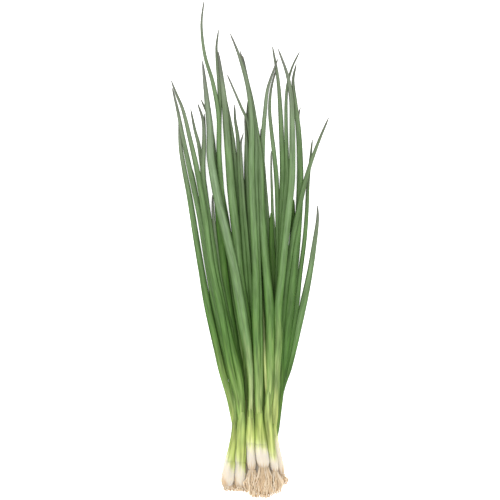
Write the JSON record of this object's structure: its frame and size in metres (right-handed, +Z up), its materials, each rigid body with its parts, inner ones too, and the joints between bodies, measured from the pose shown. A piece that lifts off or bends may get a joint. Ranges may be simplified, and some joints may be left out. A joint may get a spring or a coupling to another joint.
{
  "type": "chive bunch",
  "caption": "Loose bunch of rooted young chive-like onions lying flat, with white bulbs, tan roots and long tapering hollow green leaves that fan out and cross.",
  "frame": {"origin": "on the resting surface, under the middle of the bunch's box", "axes": "+Y towards the leaf tips, +Z up away from the resting surface, +X to the right seen from above"},
  "size_m": [0.1431, 0.4479, 0.0243],
  "materials": {
    "root_tan": "dry fibrous roots, matte",
    "bulb_white": "smooth moist skin, satin",
    "leaf_green": "waxy leaf with a slight bloom, satin"
  },
  "bodies": {
    "root": {"plant_01_roots": "root_tan", "plant_01_bulb": "bulb_white", "plant_01_leaves": "leaf_green", "plant_02_roots": "root_tan", "plant_02_bulb": "bulb_white", "plant_02_leaves": "leaf_green", "plant_03_roots": "root_tan", "plant_03_bulb": "bulb_white", "plant_03_leaves": "leaf_green", "plant_04_roots": "root_tan", "plant_04_bulb": "bulb_white", "plant_04_leaves": "leaf_green", "plant_05_roots": "root_tan", "plant_05_bulb": "bulb_white", "plant_05_leaves": "leaf_green", "plant_06_roots": "root_tan", "plant_06_bulb": "bulb_white", "plant_06_leaves": "leaf_green", "plant_07_roots": "root_tan", "plant_07_bulb": "bulb_white", "plant_07_leaves": "leaf_green", "plant_08_roots": "root_tan", "plant_08_bulb": "bulb_white", "plant_08_leaves": "leaf_green", "plant_09_roots": "root_tan", "plant_09_bulb": "bulb_white", "plant_09_leaves": "leaf_green", "plant_10_roots": "root_tan", "plant_10_bulb": "bulb_white", "plant_10_leaves": "leaf_green", "plant_11_roots": "root_tan", "plant_11_bulb": "bulb_white", "plant_11_leaves": "leaf_green"}
  },
  "joints": []
}
